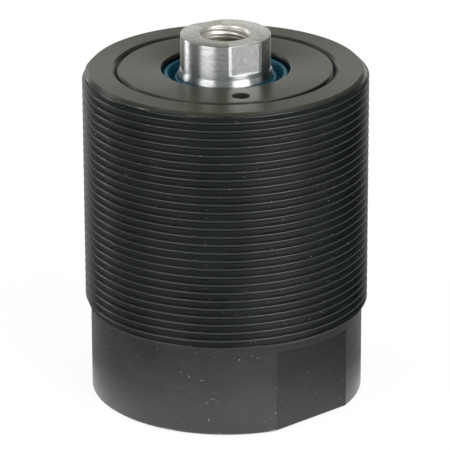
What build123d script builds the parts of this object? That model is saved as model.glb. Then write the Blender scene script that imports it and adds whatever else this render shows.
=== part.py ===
"""Double-acting hydraulic cylinder with a threaded body, stored with its plunger in.

Frame: origin at the bottom centre of the body, +Z up along the axis of the plunger, and -Y towards the
front. Every length is in millimetres and every angle in degrees.
"""
import os
from math import radians, sqrt, tan

from build123d import *

# The stack along the axis: base, piston and free stroke, with the gland above them
base_thickness = 16.5
piston_length = 13.0
stroke = 15.0

# Outside of the body
body_thread_diameter = 53.975
body_top_chamfer = 1.33
lower_body_diameter = 51.9
lower_body_height = 17.3
bottom_edge_break = 0.25
body_flat_width = 48.8
body_flat_height = 16.0
body_flat_angle = -49.0

# Inside of the body
bore_diameter = 32.0
gland_thread_diameter = 41.275
gland_thread_length = 9.2
thread_relief_length = 1.5
thread_relief_depth = 0.35
seal_bore_diameter = 38.0
seal_bore_lead = 0.6
mouth_chamfer = 0.63
gallery_height = 1.2

# Ports in the base, with their drillings to the two oil chambers
port_bore_diameter = 8.8
port_depth = 10.0
port_mouth_chamfer = 0.55
port_radius = 15.8
drill_point_angle = 118.0
advance_drilling_diameter = 3.2
advance_drilling_radius = 13.2
retract_drilling_diameter = 2.6
retract_drilling_radius = 18.8

# Gland nut
gland_top_chamfer = 0.54
gland_end_chamfer = 0.7
gland_nose_chamfer = 0.5
gland_mouth_diameter = 24.3
gland_mouth_depth = 1.0
gland_mouth_break = 0.2
gland_land = 1.0
gland_nose_land = 1.5
gland_o_ring_land = 1.4
spanner_hole_diameter = 3.2
spanner_hole_depth = 5.0
spanner_hole_circle = 33.0
spanner_hole_angle = -80.3

# Plunger
rod_diameter = 18.0
rod_end_diameter = 17.0
rod_end_length = 6.6
rod_end_shoulder_height = 0.1
rod_end_flat_width = 15.9
rod_end_flat_ledge = 0.85
rod_end_flat_angle = -61.5
rod_shoulder_round = 0.4
rod_undercut_depth = 0.12
rod_undercut_height = 0.18
rod_end_break = 0.25
rod_bore_diameter = 7.94
rod_bore_depth = 20.0
rod_bore_countersink = 0.85
spigot_diameter = 12.0
spigot_chamfer = 0.6

# Piston
piston_bottom_land = 1.5
piston_top_land = 1.6
piston_edge_break = 0.4
piston_foot_width = 1.1
piston_foot_depth = 0.7
nut_recess_depth = 5.0

# Thin hexagon nut that holds the piston on the spigot
nut_width = 18.0
nut_thickness = 4.4
nut_chamfer = 0.5
nut_chamfer_angle = 30.0

# Seals and guide rings
guide_ring_thickness = 1.5
guide_ring_height = 2.5
gland_guide_height = 3.0
guide_ring_split = 0.8
guide_ring_split_slant = 30.0
rod_seal_thickness = 3.95
rod_seal_height = 4.2
rod_seal_notch_round = 0.5
rod_seal_energiser_section = 1.7
piston_seal_height = 2.8
piston_seal_thickness = 1.35
piston_seal_chamfer = 0.3
piston_energiser_section = 2.3
gland_o_ring_section = 2.0
gland_o_ring_squash = 0.85
gland_backup_thickness = 1.2
spigot_o_ring_section = 1.5
spigot_o_ring_depth = 1.8
wiper_height = 3.6
wiper_heel_thickness = 4.15
wiper_lip_diameter = 23.32
wiper_lip_drop = 0.9
wiper_lip_thickness = 0.7
wiper_lip_root_thickness = 1.05
wiper_inner_lip_drop = 1.6
wiper_inner_lip_thickness = 0.45
wiper_inner_lip_root_thickness = 0.9
wiper_neck_drop = 0.35
wiper_groove_depth = 2.1

# Clearances
thread_clearance = 0.03
static_clearance = 0.03
slide_clearance = 0.04
metal_clearance = 0.3
nut_recess_clearance = 0.5
piston_clearance = 0.25
groove_clearance = 0.05
spigot_clearance = 0.02
stop_clearance = 0.05

# The gland is as long as its grooves and lands, and the body as high as the whole stack
gland_length = (
    gland_mouth_depth
    + wiper_height
    + rod_seal_height
    + 2 * gland_guide_height
    + 4 * groove_clearance
    + 3 * gland_land
    + gland_nose_land
)
body_height = base_thickness + piston_length + stroke + gland_length

# Radii and levels that follow from the sizes above
body_thread_r = body_thread_diameter / 2
lower_body_r = lower_body_diameter / 2
bore_r = bore_diameter / 2
gland_thread_r = gland_thread_diameter / 2
seal_bore_r = seal_bore_diameter / 2
rod_r = rod_diameter / 2
rod_end_r = rod_end_diameter / 2
rod_bore_r = rod_bore_diameter / 2
spigot_r = spigot_diameter / 2
gland_bottom = body_height - gland_length
gland_step = body_height - gland_thread_length - thread_relief_length
gallery_floor = gland_bottom - gallery_height
piston_bottom = base_thickness + stop_clearance
piston_top = base_thickness + piston_length - stop_clearance
rod_end_bottom = body_height + rod_end_shoulder_height
rod_end_top = rod_end_bottom + rod_end_length


def drill_tip(radius: float) -> float:
    """Gives the depth of the cone that a drill of this radius leaves."""
    return radius / tan(radians(drill_point_angle / 2))


def revolve_profile(points: list) -> None:
    """Turns a closed outline of (radius, height) points about the axis, inside the open part."""
    with BuildSketch(Plane.XZ) as outline:
        with BuildLine():
            Polyline(*points, close=True)
        make_face()
    revolve(outline.sketch, axis=Axis.Z)


os.makedirs("parts", exist_ok=True)

# Body: turned outside and stepped bore, then wrench flats, ports and oil drillings
mouth_r = gland_thread_r + thread_clearance
thread_start_height = lower_body_height + body_thread_r - lower_body_r
with BuildPart() as cylinder_body:
    revolve_profile(
        [
            (0, 0),
            (lower_body_r - bottom_edge_break, 0),
            (lower_body_r, bottom_edge_break),
            (lower_body_r, lower_body_height),
            (body_thread_r, thread_start_height),
            (body_thread_r, body_height - body_top_chamfer),
            (body_thread_r - body_top_chamfer, body_height),
            (mouth_r + mouth_chamfer, body_height),
            (mouth_r, body_height - mouth_chamfer),
            (mouth_r, body_height - gland_thread_length),
            (mouth_r + thread_relief_depth, body_height - gland_thread_length),
            (mouth_r + thread_relief_depth, gland_step),
            (seal_bore_r + seal_bore_lead / 2, gland_step),
            (seal_bore_r, gland_step - seal_bore_lead),
            (seal_bore_r, gallery_floor),
            (bore_r, gallery_floor),
            (bore_r, base_thickness),
            (0, base_thickness),
        ]
    )
    with BuildSketch(Plane.XY.rotated((0, 0, body_flat_angle))):
        flat_depth = body_thread_r - body_flat_width / 2
        for side in (-1, 1):
            with Locations((side * (body_flat_width / 2 + flat_depth / 2), 0)):
                Rectangle(flat_depth, 2 * body_thread_r)
    extrude(amount=body_flat_height, mode=Mode.SUBTRACT)
    for side, drilling_r, drilling_diameter, drilling_end in (
        (-1, advance_drilling_radius, advance_drilling_diameter, base_thickness),
        (1, retract_drilling_radius, retract_drilling_diameter, gallery_floor),
    ):
        port_bore_r = port_bore_diameter / 2
        port_centre = side * port_radius
        with BuildSketch(Plane.XZ):
            with BuildLine():
                Polyline(
                    (port_centre, 0),
                    (port_centre + port_bore_r + port_mouth_chamfer, 0),
                    (port_centre + port_bore_r, port_mouth_chamfer),
                    (port_centre + port_bore_r, port_depth),
                    (port_centre, port_depth + drill_tip(port_bore_r)),
                    close=True,
                )
            make_face()
        revolve(axis=Axis((port_centre, 0, 0), (0, 0, 1)), mode=Mode.SUBTRACT)
        with BuildSketch(Plane.XY.offset(port_depth - drilling_diameter)):
            with Locations((side * drilling_r, 0)):
                Circle(drilling_diameter / 2)
        extrude(amount=drilling_end - port_depth + drilling_diameter, mode=Mode.SUBTRACT)
cylinder_body.part.label = "cylinder_body"
export_step(cylinder_body.part, "parts/cylinder_body.step")

# Levels of the grooves inside the gland, from the top down
wiper_groove_top = body_height - gland_mouth_depth
wiper_groove_bottom = wiper_groove_top - wiper_height - groove_clearance
upper_guide_top = wiper_groove_bottom - gland_land
upper_guide_bottom = upper_guide_top - gland_guide_height - groove_clearance
rod_seal_top = upper_guide_bottom - gland_land
rod_seal_bottom = rod_seal_top - rod_seal_height - groove_clearance
lower_guide_top = rod_seal_bottom - gland_land
lower_guide_bottom = lower_guide_top - gland_guide_height - groove_clearance
gland_bore_r = rod_r + metal_clearance
gland_mouth_r = gland_mouth_diameter / 2
wiper_groove_r = rod_r + slide_clearance + wiper_heel_thickness + static_clearance
rod_guide_groove_r = rod_r + slide_clearance + guide_ring_thickness + static_clearance
rod_seal_groove_r = rod_r + slide_clearance + rod_seal_thickness + static_clearance

# Levels of the static seal groove outside the gland
gland_o_ring_top = gland_step - gland_o_ring_land
gland_o_ring_height = gland_o_ring_section + gland_backup_thickness + 3 * groove_clearance
gland_o_ring_bottom = gland_o_ring_top - gland_o_ring_height
gland_o_ring_radial = gland_o_ring_section * gland_o_ring_squash
gland_o_ring_groove_r = seal_bore_r - gland_o_ring_radial - 2 * static_clearance

# Gland nut: threaded plug flush with the body, grooved inside for the wiper, seal and guide rings
gland_seal_r = seal_bore_r - static_clearance
with BuildPart() as gland_nut:
    revolve_profile(
        [
            (gland_mouth_r + gland_mouth_break, body_height),
            (gland_thread_r - gland_top_chamfer, body_height),
            (gland_thread_r, body_height - gland_top_chamfer),
            (gland_thread_r, gland_step + gland_end_chamfer),
            (gland_thread_r - gland_end_chamfer, gland_step),
            (gland_seal_r, gland_step),
            (gland_seal_r, gland_o_ring_top),
            (gland_o_ring_groove_r, gland_o_ring_top),
            (gland_o_ring_groove_r, gland_o_ring_bottom),
            (gland_seal_r, gland_o_ring_bottom),
            (gland_seal_r, gland_bottom + gland_nose_chamfer),
            (gland_seal_r - gland_nose_chamfer, gland_bottom),
            (gland_bore_r, gland_bottom),
            (gland_bore_r, lower_guide_bottom),
            (rod_guide_groove_r, lower_guide_bottom),
            (rod_guide_groove_r, lower_guide_top),
            (gland_bore_r, lower_guide_top),
            (gland_bore_r, rod_seal_bottom),
            (rod_seal_groove_r, rod_seal_bottom),
            (rod_seal_groove_r, rod_seal_top),
            (gland_bore_r, rod_seal_top),
            (gland_bore_r, upper_guide_bottom),
            (rod_guide_groove_r, upper_guide_bottom),
            (rod_guide_groove_r, upper_guide_top),
            (gland_bore_r, upper_guide_top),
            (gland_bore_r, wiper_groove_bottom),
            (wiper_groove_r, wiper_groove_bottom),
            (wiper_groove_r, wiper_groove_top),
            (gland_mouth_r, wiper_groove_top),
            (gland_mouth_r, body_height - gland_mouth_break),
        ]
    )
    with Locations(Plane.XY.offset(body_height)):
        with PolarLocations(spanner_hole_circle / 2, 2, start_angle=spanner_hole_angle):
            Hole(spanner_hole_diameter / 2, depth=spanner_hole_depth)
gland_nut.part.label = "gland_nut"
export_step(gland_nut.part, "parts/gland_nut.step")

# Rod wiper: heel in its groove, an outer lip in the gland's mouth and a thin inner lip on the rod
wiper_inner_r = rod_r + slide_clearance
wiper_heel_r = wiper_groove_r - static_clearance
wiper_lip_r = wiper_lip_diameter / 2
wiper_bottom = wiper_groove_bottom + groove_clearance / 2
wiper_lip_top = body_height - wiper_lip_drop
wiper_groove_floor = wiper_lip_top - wiper_groove_depth
wiper_inner_lip_top = body_height - wiper_inner_lip_drop
wiper_heel_top = wiper_groove_top - groove_clearance / 2
wiper_lip_lean = wiper_heel_r - gland_mouth_r
with BuildPart() as rod_wiper:
    revolve_profile(
        [
            (wiper_inner_r + wiper_inner_lip_thickness, wiper_bottom),
            (wiper_heel_r, wiper_bottom),
            (wiper_heel_r, wiper_heel_top - wiper_lip_lean),
            (gland_mouth_r - static_clearance, wiper_heel_top - wiper_neck_drop),
            (wiper_lip_r, wiper_lip_top),
            (wiper_lip_r - wiper_lip_thickness, wiper_lip_top),
            (wiper_lip_r - wiper_lip_root_thickness, wiper_groove_floor),
            (wiper_inner_r + wiper_inner_lip_root_thickness, wiper_groove_floor),
            (wiper_inner_r + wiper_inner_lip_thickness, wiper_inner_lip_top),
            (wiper_inner_r, wiper_inner_lip_top),
            (wiper_inner_r, wiper_groove_floor),
        ]
    )
rod_wiper.part.label = "rod_wiper"
export_step(rod_wiper.part, "parts/rod_wiper.step")

# Rod seal: U-shaped ring, open towards the oil, with an energising ring between its lips
rod_seal_inner_r = rod_r + slide_clearance
rod_seal_outer_r = rod_seal_inner_r + rod_seal_thickness
rod_seal_low = rod_seal_bottom + groove_clearance / 2
rod_seal_mid_r = (rod_seal_inner_r + rod_seal_outer_r) / 2
energiser_r = rod_seal_energiser_section / 2
rod_seal_notch = rod_seal_low + rod_seal_energiser_section
with BuildPart() as rod_seal:
    revolve_profile(
        [
            (rod_seal_inner_r, rod_seal_low + rod_seal_height),
            (rod_seal_inner_r, rod_seal_low),
            (rod_seal_mid_r - energiser_r - static_clearance, rod_seal_low),
            (rod_seal_mid_r - energiser_r - static_clearance, rod_seal_notch),
            (rod_seal_mid_r + energiser_r + static_clearance, rod_seal_notch),
            (rod_seal_mid_r + energiser_r + static_clearance, rod_seal_low),
            (rod_seal_outer_r, rod_seal_low),
            (rod_seal_outer_r, rod_seal_low + rod_seal_height),
        ]
    )
    notch_roof = rod_seal.faces().filter_by(Axis.Z).sort_by(Axis.Z)[-2]
    fillet(notch_roof.edges(), radius=rod_seal_notch_round)
rod_seal.part.label = "rod_seal"
export_step(rod_seal.part, "parts/rod_seal.step")


def round_ring(middle_r: float, section: float, height: float) -> None:
    """Makes a ring of round section about the axis, inside the open part."""
    with BuildSketch(Plane.XZ) as section_circle:
        with Locations((middle_r, height)):
            Circle(section / 2)
    revolve(section_circle.sketch, axis=Axis.Z)


with BuildPart() as rod_seal_energiser:
    round_ring(rod_seal_mid_r, rod_seal_energiser_section, rod_seal_low + energiser_r)
rod_seal_energiser.part.label = "rod_seal_energiser"
export_step(rod_seal_energiser.part, "parts/rod_seal_energiser.step")


def split_ring(inner_r: float, thickness: float, height: float, bottom: float) -> None:
    """Makes a flat guide ring with its slanted assembly gap, inside the open part."""
    with BuildSketch(Plane.XY.offset(bottom)) as band:
        Circle(inner_r + thickness)
        Circle(inner_r, mode=Mode.SUBTRACT)
    extrude(band.sketch, amount=height)
    with BuildSketch(Plane.YZ) as gap:
        with Locations((0, bottom + height / 2)):
            Rectangle(guide_ring_split, 2 * height, rotation=guide_ring_split_slant)
    extrude(gap.sketch, amount=inner_r + 2 * thickness, mode=Mode.SUBTRACT)


for ring_name, groove_bottom in (
    ("upper_rod_guide", upper_guide_bottom),
    ("lower_rod_guide", lower_guide_bottom),
):
    with BuildPart() as rod_guide:
        ring_bottom = groove_bottom + groove_clearance / 2
        split_ring(rod_r + slide_clearance, guide_ring_thickness, gland_guide_height, ring_bottom)
    rod_guide.part.label = ring_name
    export_step(rod_guide.part, f"parts/{ring_name}.step")

# Static seal outside the gland, with the backup ring on the side away from the oil
gland_o_ring_mid_r = gland_o_ring_groove_r + static_clearance + gland_o_ring_radial / 2
gland_o_ring_middle = gland_o_ring_bottom + groove_clearance + gland_o_ring_section / 2
with BuildPart() as gland_o_ring:
    with BuildSketch(Plane.XZ):
        with Locations((gland_o_ring_mid_r, gland_o_ring_middle)):
            Ellipse(gland_o_ring_radial / 2, gland_o_ring_section / 2)
    revolve(axis=Axis.Z)
gland_o_ring.part.label = "gland_o_ring"
export_step(gland_o_ring.part, "parts/gland_o_ring.step")

with BuildPart() as gland_backup_ring:
    with BuildSketch(Plane.XY.offset(gland_o_ring_top - groove_clearance)):
        Circle(seal_bore_r - static_clearance)
        Circle(gland_o_ring_groove_r + static_clearance, mode=Mode.SUBTRACT)
    extrude(amount=-gland_backup_thickness)
gland_backup_ring.part.label = "gland_backup_ring"
export_step(gland_backup_ring.part, "parts/gland_backup_ring.step")

# Plunger rod: flatted and tapped end above the shoulder, full rod, then the spigot for the piston
spigot_bottom = piston_bottom + nut_recess_depth - nut_thickness
with BuildPart() as plunger_rod:
    revolve_profile(
        [
            (0, spigot_bottom),
            (spigot_r - spigot_chamfer, spigot_bottom),
            (spigot_r, spigot_bottom + spigot_chamfer),
            (spigot_r, piston_top),
            (rod_r, piston_top),
            (rod_r, rod_end_bottom),
            (rod_end_r - rod_undercut_depth, rod_end_bottom),
            (rod_end_r - rod_undercut_depth, rod_end_bottom + rod_undercut_height),
            (rod_end_r, rod_end_bottom + rod_undercut_height + rod_undercut_depth),
            (rod_end_r, rod_end_top - rod_end_break),
            (rod_end_r - rod_end_break, rod_end_top),
            (rod_bore_r + rod_bore_countersink, rod_end_top),
            (rod_bore_r, rod_end_top - rod_bore_countersink),
            (rod_bore_r, rod_end_top - rod_bore_depth),
            (0, rod_end_top - rod_bore_depth - drill_tip(rod_bore_r)),
        ]
    )
    shoulder = plunger_rod.faces().filter_by(Axis.Z).sort_by(Axis.Z)[-2]
    fillet(shoulder.edges().sort_by(SortBy.LENGTH)[-1], radius=rod_shoulder_round)
    flat_foot = Plane.XY.offset(rod_end_bottom + rod_end_flat_ledge)
    with BuildSketch(flat_foot.rotated((0, 0, rod_end_flat_angle))):
        for side in (-1, 1):
            with Locations((side * (rod_end_flat_width / 2 + rod_end_r / 2), 0)):
                Rectangle(rod_end_r, 2 * rod_end_r)
    extrude(amount=rod_end_length, mode=Mode.SUBTRACT)
plunger_rod.part.label = "plunger_rod"
export_step(plunger_rod.part, "parts/plunger_rod.step")

# Piston grooves: a guide ring near each end and the seal midway between them
piston_r = bore_r - piston_clearance
ring_outer_r = bore_r - slide_clearance
guide_floor_r = ring_outer_r - guide_ring_thickness - static_clearance
piston_seal_inner_r = ring_outer_r - piston_seal_thickness
piston_energiser_r = piston_energiser_section / 2
seal_floor_r = piston_seal_inner_r - piston_energiser_section - 2 * static_clearance
low_guide_bottom = piston_bottom + piston_bottom_land
low_guide_top = low_guide_bottom + guide_ring_height + groove_clearance
high_guide_top = piston_top - piston_top_land
high_guide_bottom = high_guide_top - guide_ring_height - groove_clearance
seal_middle = (low_guide_top + high_guide_bottom) / 2
seal_groove_half = (piston_seal_height + groove_clearance) / 2
nut_corner_r = nut_width / sqrt(3)
recess_r = nut_corner_r + nut_recess_clearance
recess_roof = piston_bottom + nut_recess_depth
foot_inner_r = piston_r - piston_edge_break - piston_foot_width
spigot_o_ring_low = piston_top - spigot_o_ring_depth - spigot_o_ring_section - groove_clearance
spigot_o_ring_groove_r = spigot_r + spigot_clearance + spigot_o_ring_section
with BuildPart() as piston:
    revolve_profile(
        [
            (recess_r, piston_bottom + piston_foot_depth),
            (foot_inner_r, piston_bottom + piston_foot_depth),
            (foot_inner_r, piston_bottom),
            (piston_r - piston_edge_break, piston_bottom),
            (piston_r, piston_bottom + piston_edge_break),
            (piston_r, low_guide_bottom),
            (guide_floor_r, low_guide_bottom),
            (guide_floor_r, low_guide_top),
            (piston_r, low_guide_top),
            (piston_r, seal_middle - seal_groove_half),
            (seal_floor_r, seal_middle - seal_groove_half),
            (seal_floor_r, seal_middle + seal_groove_half),
            (piston_r, seal_middle + seal_groove_half),
            (piston_r, high_guide_bottom),
            (guide_floor_r, high_guide_bottom),
            (guide_floor_r, high_guide_top),
            (piston_r, high_guide_top),
            (piston_r, piston_top - piston_edge_break),
            (piston_r - piston_edge_break, piston_top),
            (spigot_r + spigot_clearance, piston_top),
            (spigot_r + spigot_clearance, spigot_o_ring_low + spigot_o_ring_section + groove_clearance),
            (spigot_o_ring_groove_r, spigot_o_ring_low + spigot_o_ring_section + groove_clearance),
            (spigot_o_ring_groove_r, spigot_o_ring_low),
            (spigot_r + spigot_clearance, spigot_o_ring_low),
            (spigot_r + spigot_clearance, recess_roof),
            (recess_r, recess_roof),
        ]
    )
piston.part.label = "piston"
export_step(piston.part, "parts/piston.step")

# Static ring between the piston and the spigot
with BuildPart() as piston_static_ring:
    round_ring(
        spigot_r + spigot_clearance + spigot_o_ring_section / 2,
        spigot_o_ring_section - static_clearance,
        spigot_o_ring_low + (spigot_o_ring_section + groove_clearance) / 2,
    )
piston_static_ring.part.label = "piston_static_ring"
export_step(piston_static_ring.part, "parts/piston_static_ring.step")

# Thin nut under the piston's web
with BuildPart() as piston_nut:
    with BuildSketch(Plane.XY.offset(recess_roof - nut_thickness)):
        RegularPolygon(nut_width / 2, 6, major_radius=False)
        Circle(spigot_r + spigot_clearance, mode=Mode.SUBTRACT)
    extrude(amount=nut_thickness)
    nut_low = recess_roof - nut_thickness
    nut_chamfer_rise = 2 * nut_chamfer * tan(radians(nut_chamfer_angle))
    with BuildSketch(Plane.XZ):
        with BuildLine():
            Polyline(
                (nut_corner_r + nut_chamfer, nut_low),
                (nut_corner_r - nut_chamfer, nut_low),
                (nut_corner_r + nut_chamfer, nut_low + nut_chamfer_rise),
                close=True,
            )
        make_face()
    revolve(axis=Axis.Z, mode=Mode.SUBTRACT)
piston_nut.part.label = "piston_nut"
export_step(piston_nut.part, "parts/piston_nut.step")

# Piston seal: a hard slide ring over its energising ring
piston_seal_half = piston_seal_height / 2
with BuildPart() as piston_seal:
    revolve_profile(
        [
            (piston_seal_inner_r, seal_middle - piston_seal_half),
            (ring_outer_r - piston_seal_chamfer, seal_middle - piston_seal_half),
            (ring_outer_r, seal_middle - piston_seal_half + piston_seal_chamfer),
            (ring_outer_r, seal_middle + piston_seal_half - piston_seal_chamfer),
            (ring_outer_r - piston_seal_chamfer, seal_middle + piston_seal_half),
            (piston_seal_inner_r, seal_middle + piston_seal_half),
        ]
    )
piston_seal.part.label = "piston_seal"
export_step(piston_seal.part, "parts/piston_seal.step")

with BuildPart() as piston_seal_energiser:
    energiser_mid_r = piston_seal_inner_r - static_clearance - piston_energiser_r
    round_ring(energiser_mid_r, piston_energiser_section, seal_middle)
piston_seal_energiser.part.label = "piston_seal_energiser"
export_step(piston_seal_energiser.part, "parts/piston_seal_energiser.step")

for ring_name, groove_bottom in (
    ("upper_piston_guide", high_guide_bottom),
    ("lower_piston_guide", low_guide_bottom),
):
    with BuildPart() as piston_guide:
        ring_bottom = groove_bottom + groove_clearance / 2
        split_ring(ring_outer_r - guide_ring_thickness, guide_ring_thickness, guide_ring_height, ring_bottom)
    piston_guide.part.label = ring_name
    export_step(piston_guide.part, f"parts/{ring_name}.step")
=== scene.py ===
"""Looks of a threaded body cylinder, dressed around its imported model.

Frame: metres, +Z up along the plunger's axis, origin at the bottom centre of the body, -Y to the
front. Sizes inside the classes are in millimetres, as on a turner's drawing, and turn to metres
where a mesh or a node is made.
"""

import logging
from collections.abc import Callable, Iterable, Sequence
from dataclasses import dataclass, replace
from enum import Enum
from functools import partial
from math import acos, atan, ceil, cos, floor, pi, radians, sin, tan
from typing import Any

import bmesh
import bpy
import numpy as np
from mathutils import Matrix, Vector


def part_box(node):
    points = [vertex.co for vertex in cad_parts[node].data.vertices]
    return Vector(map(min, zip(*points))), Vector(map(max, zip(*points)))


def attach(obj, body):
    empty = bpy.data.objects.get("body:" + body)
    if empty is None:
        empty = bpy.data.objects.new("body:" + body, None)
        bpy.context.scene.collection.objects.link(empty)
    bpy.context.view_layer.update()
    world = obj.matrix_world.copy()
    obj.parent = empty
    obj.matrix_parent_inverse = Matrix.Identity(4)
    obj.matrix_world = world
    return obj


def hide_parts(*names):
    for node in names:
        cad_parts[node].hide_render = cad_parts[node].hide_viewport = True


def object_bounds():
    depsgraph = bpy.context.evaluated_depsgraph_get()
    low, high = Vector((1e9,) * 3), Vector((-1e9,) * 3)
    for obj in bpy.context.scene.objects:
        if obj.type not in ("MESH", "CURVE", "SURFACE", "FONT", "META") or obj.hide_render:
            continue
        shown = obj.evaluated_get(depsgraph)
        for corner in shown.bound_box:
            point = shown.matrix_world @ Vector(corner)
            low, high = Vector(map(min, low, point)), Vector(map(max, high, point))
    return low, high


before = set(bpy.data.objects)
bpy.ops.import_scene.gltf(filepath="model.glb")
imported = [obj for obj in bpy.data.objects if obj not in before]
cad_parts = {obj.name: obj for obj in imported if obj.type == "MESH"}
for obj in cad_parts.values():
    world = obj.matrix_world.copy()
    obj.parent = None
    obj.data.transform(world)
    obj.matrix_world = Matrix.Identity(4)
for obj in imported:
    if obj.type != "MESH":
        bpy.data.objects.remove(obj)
cad_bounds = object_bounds()

logging.basicConfig(level=logging.INFO, format="%(message)s")
log = logging.getLogger("threaded_body_cylinder")

MM = 0.001

# Meshes: what merges, which edges stay crisp, and how far a cutter stands out of the metal
MERGE_DISTANCE = 0.0002 * MM
SHARP_ANGLE = radians(26)
UPRIGHT_ANGLE = radians(8)
UPRIGHT_SHARE = 0.9
SHORTEST_LEG = 1e-6
OVERRUN = 1.0

# Screws and drills: lean of a 60 degree thread's flank and the thread's depth as a share of its
# pitch, half of a drill's point, and the pitch of the body's two threads, with the level of a ridge
# on the +X side
FLANK_LEAN = radians(30)
OUTSIDE_DEPTH = 0.6134
INSIDE_DEPTH = 0.5413
DRILL_POINT = radians(59)
BODY_PITCH = 25.4 / 16
BODY_RIDGE = 0.837

# Patterns: the part of a noise's span in which the rings lie, its detail, and the turn that lays
# the gloss across the tool marks
RING_SPAN = (0.3, 0.7)
RING_DETAIL = 3.0
ACROSS_THE_LAY = 0.25

Point = tuple[float, float]
Place = tuple[float, float, float]
Colour = tuple[float, float, float, float]
Socket = bpy.types.NodeSocket
SocketValue = float | int | tuple | Socket
Inputs = dict[int | str, SocketValue] | Sequence[SocketValue]
AddNode = Callable[..., bpy.types.NodeOutputs]


# Nodes and colours


def srgb(code: str) -> Colour:
    """Turns an sRGB hex colour into linear light.

    Args:
        code: six hex digits, such as "4b5051".

    Returns:
        Linear red, green and blue, with full alpha.
    """
    channels = [int(code[place : place + 2], 16) / 255 for place in (0, 2, 4)]
    linear = [c / 12.92 if c <= 0.04045 else ((c + 0.055) / 1.055) ** 2.4 for c in channels]
    return (linear[0], linear[1], linear[2], 1.0)


def add_node(
    tree: bpy.types.NodeTree, kind: str, inputs: Inputs = (), **settings: Any
) -> bpy.types.NodeOutputs:
    """Adds one node with its settings and links.

    Args:
        tree: The node tree that gets the node.
        kind: The node's type without its leading "ShaderNode".
        inputs: A constant, or another node's output, for each input in order or by name or place.
        **settings: The node's own attributes.

    Returns:
        The new node's outputs.
    """
    node = tree.nodes.new("ShaderNode" + kind)
    for name, value in settings.items():
        setattr(node, name, value)
    for place, value in inputs.items() if isinstance(inputs, dict) else enumerate(inputs):
        if isinstance(value, Socket):
            tree.links.new(value, node.inputs[place])
        else:
            node.inputs[place].default_value = value
    return node.outputs


def empty_tree(owner: bpy.types.Material | bpy.types.World) -> AddNode:
    """Clears the nodes of a new material or world.

    Args:
        owner: The material or world.

    Returns:
        The function that adds a node to its tree.
    """
    owner.use_nodes = True
    owner.node_tree.nodes.clear()
    return partial(add_node, owner.node_tree)


def layer_colours(
    add: AddNode, base: str, layers: Iterable[tuple[SocketValue, str]]
) -> SocketValue:
    """Lays colours over each other.

    Args:
        add: Adds a node to the tree.
        base: The lowest colour.
        layers: How much of each further colour shows, and that colour, from the lowest up.

    Returns:
        The colour that all of them give.
    """
    colour: SocketValue = srgb(base)
    for share, shade in layers:
        colour = add("Mix", {0: share, 6: colour, 7: srgb(shade)}, data_type="RGBA")[2]
    return colour


def set_surface(
    add: AddNode,
    inputs: dict[int | str, SocketValue],
    bumps: Iterable[tuple[Socket, float, float]],
) -> None:
    """Adds the shader over its bumps, and ties it to the material's output.

    Args:
        add: Adds a node to the material's tree.
        inputs: The shader's own constants and links.
        bumps: Height, strength and depth in millimetres of each bump, the lowest first.
    """
    normal: dict[int | str, SocketValue] = {}
    for height, strength, depth in bumps:
        bump = {"Height": height, "Strength": strength, "Distance": depth * MM}
        normal = {"Normal": add("Bump", bump | normal)[0]}
    shader = add("BsdfPrincipled", inputs | normal)[0]
    add("OutputMaterial", (shader,))


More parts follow.
